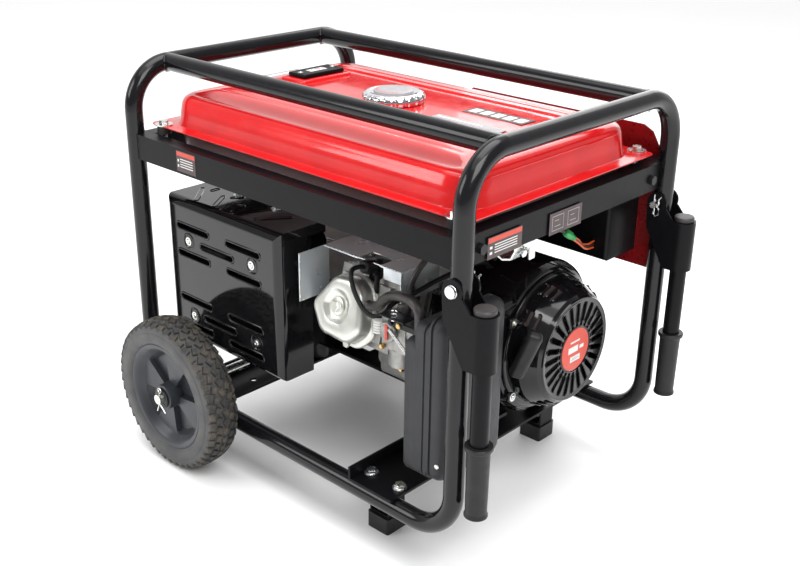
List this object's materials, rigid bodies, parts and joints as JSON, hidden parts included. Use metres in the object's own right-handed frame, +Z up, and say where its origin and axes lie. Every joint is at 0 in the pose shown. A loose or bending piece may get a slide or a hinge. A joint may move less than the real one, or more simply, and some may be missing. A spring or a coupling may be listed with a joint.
{
  "type": "portable generator",
  "caption": "Open-frame portable petrol generator: tube frame, red tank, engine with recoil starter, alternator, muffler, two wheels and two folding lift handles.",
  "frame": {"origin": "on the ground, under the middle of the object's box", "axes": "+X from the wheels to the recoil starter and lift handles, +Y to the control panel side, +Z up"},
  "size_m": [0.7448, 0.654, 0.6281],
  "materials": {
    "frame_paint": "gloss black powder coat",
    "black_fixings": "black oxide",
    "rubber": "matt black",
    "zinc": "zinc plated",
    "tyre": "matt, dusty",
    "rim_plastic": "moulded grey-black",
    "red_paint": "gloss red",
    "chrome": "polished",
    "black_plastic": "moulded satin black",
    "cast_aluminium": "as cast",
    "steel": "machined",
    "iron": "as cast",
    "filter_plastic": "moulded matt grey",
    "filter_foam": "foam",
    "gloss_black": "gloss black"
  },
  "bodies": {
    "frame": {"air_cleaner_case": "filter_plastic", "air_cleaner_cover": "filter_plastic", "air_filter": "filter_foam", "alternator_end_bells": "cast_aluminium", "alternator_stator": "steel", "axle": "zinc", "axle_fittings": "zinc", "carburettor": "cast_aluminium", "control_box": "black_plastic", "control_panel": "red_paint", "crankcase": "cast_aluminium", "crankcase_cover": "cast_aluminium", "cross_members": "frame_paint", "cylinder_cowl": "zinc", "cylinder_head": "cast_aluminium", "engine_cradle": "frame_paint", "fan_shroud": "gloss_black", "frame_bolts": "black_fixings", "fuel_gauge": "black_plastic", "fuel_tap": "zinc", "handle_pins": "zinc", "hoop_handle_end": "frame_paint", "hoop_wheel_end": "frame_paint", "hoses": "rubber", "ignition_lead": "black_plastic", "long_rails": "frame_paint", "muffler": "gloss_black", "muffler_guard": "gloss_black", "oil_plugs": "black_plastic", "panel_fittings": "black_plastic", "piston": "cast_aluminium", "recoil_housing": "gloss_black", "rocker_cover": "zinc", "rubber_feet": "rubber", "rubber_mounts": "rubber", "spark_plug_cap": "black_plastic", "tank_lower_shell": "red_paint", "tank_rails": "frame_paint", "tank_upper_shell": "red_paint", "zinc_bolts": "zinc"},
    "wheel_near": {"wheel_rim_near": "rim_plastic", "tyre_near": "tyre"},
    "wheel_far": {"wheel_rim_far": "rim_plastic", "tyre_far": "tyre"},
    "handle_near": {"handle_arm_near": "frame_paint", "handle_grip_near": "black_plastic"},
    "handle_far": {"handle_arm_far": "frame_paint", "handle_grip_far": "black_plastic"},
    "crank_train": {"crankshaft": "steel", "flywheel": "iron", "alternator_rotor": "steel"},
    "recoil_pulley": {"recoil_pulley": "black_plastic"},
    "pull_grip": {"pull_grip": "black_plastic"},
    "fuel_cap": {"fuel_cap": "chrome"},
    "fuel_tap_lever": {"fuel_tap_lever": "black_plastic"},
    "choke_lever": {"choke_lever": "black_plastic"},
    "socket_lid_1": {"socket_lid_1": "black_plastic"},
    "socket_lid_2": {"socket_lid_2": "black_plastic"},
    "breaker_switch": {"breaker_switch": "black_plastic"},
    "engine_switch": {"engine_switch": "black_plastic"}
  },
  "joints": [
    {"name": "wheel_near_spin", "type": "hinge", "parent": "frame", "child": "wheel_near", "pos_m": [-0.21665, -0.288, 0.125], "axis": [0, 1, 0], "continuous": true},
    {"name": "wheel_far_spin", "type": "hinge", "parent": "frame", "child": "wheel_far", "pos_m": [-0.21665, 0.288, 0.125], "axis": [0, 1, 0], "continuous": true},
    {"name": "handle_near_lift", "type": "hinge", "parent": "frame", "child": "handle_near", "pos_m": [0.31505, -0.2334, 0.45], "axis": [0, -1, 0], "range_deg": [0, 90]},
    {"name": "handle_far_lift", "type": "hinge", "parent": "frame", "child": "handle_far", "pos_m": [0.31505, 0.2334, 0.45], "axis": [0, -1, 0], "range_deg": [0, 90]},
    {"name": "crank_spin", "type": "hinge", "parent": "frame", "child": "crank_train", "pos_m": [-0.02165, 0.06, 0.256], "axis": [1, 0, 0], "continuous": true},
    {"name": "pull_grip_draw", "type": "slide", "parent": "frame", "child": "pull_grip", "axis": [0.4993, -0.7689, -0.3994], "range_m": [0, 0.065], "stiffness_N_per_m": 60, "springref_m": -0.02},
    {"name": "recoil_pulley_spin", "type": "hinge", "parent": "frame", "child": "recoil_pulley", "pos_m": [0.26835, 0.06, 0.256], "axis": [1, 0, 0], "range_deg": [0, 60]},
    {"name": "fuel_cap_lift", "type": "slide", "parent": "frame", "child": "fuel_cap", "axis": [0, 0, 1], "range_m": [0, 0.05]},
    {"name": "fuel_tap_turn", "type": "hinge", "parent": "frame", "child": "fuel_tap_lever", "pos_m": [0.24035, -0.14, 0.45], "axis": [0, 1, 0], "range_deg": [0, 90]},
    {"name": "choke_turn", "type": "hinge", "parent": "frame", "child": "choke_lever", "pos_m": [0.15435, -0.186, 0.334], "axis": [0, -1, 0], "range_deg": [0, 50]},
    {"name": "socket_lid_1_open", "type": "hinge", "parent": "frame", "child": "socket_lid_1", "pos_m": [0.12835, 0.251, 0.438], "axis": [1, 0, 0], "range_deg": [0, 110], "stiffness_Nm_per_rad": 0.02, "springref_deg": -28.65},
    {"name": "socket_lid_2_open", "type": "hinge", "parent": "frame", "child": "socket_lid_2", "pos_m": [0.21035, 0.251, 0.438], "axis": [1, 0, 0], "range_deg": [0, 110], "stiffness_Nm_per_rad": 0.02, "springref_deg": -28.65},
    {"name": "breaker_tip", "type": "hinge", "parent": "frame", "child": "breaker_switch", "pos_m": [0.01535, 0.241, 0.453], "axis": [1, 0, 0], "range_deg": [0, 30]},
    {"name": "engine_switch_tip", "type": "hinge", "parent": "frame", "child": "engine_switch", "pos_m": [0.01535, 0.241, 0.406], "axis": [1, 0, 0], "range_deg": [0, 30]}
  ],
  "couplings": [
    {"joint": "recoil_pulley_spin", "follows": "pull_grip_draw", "rad_per_m": 15.625}
  ]
}
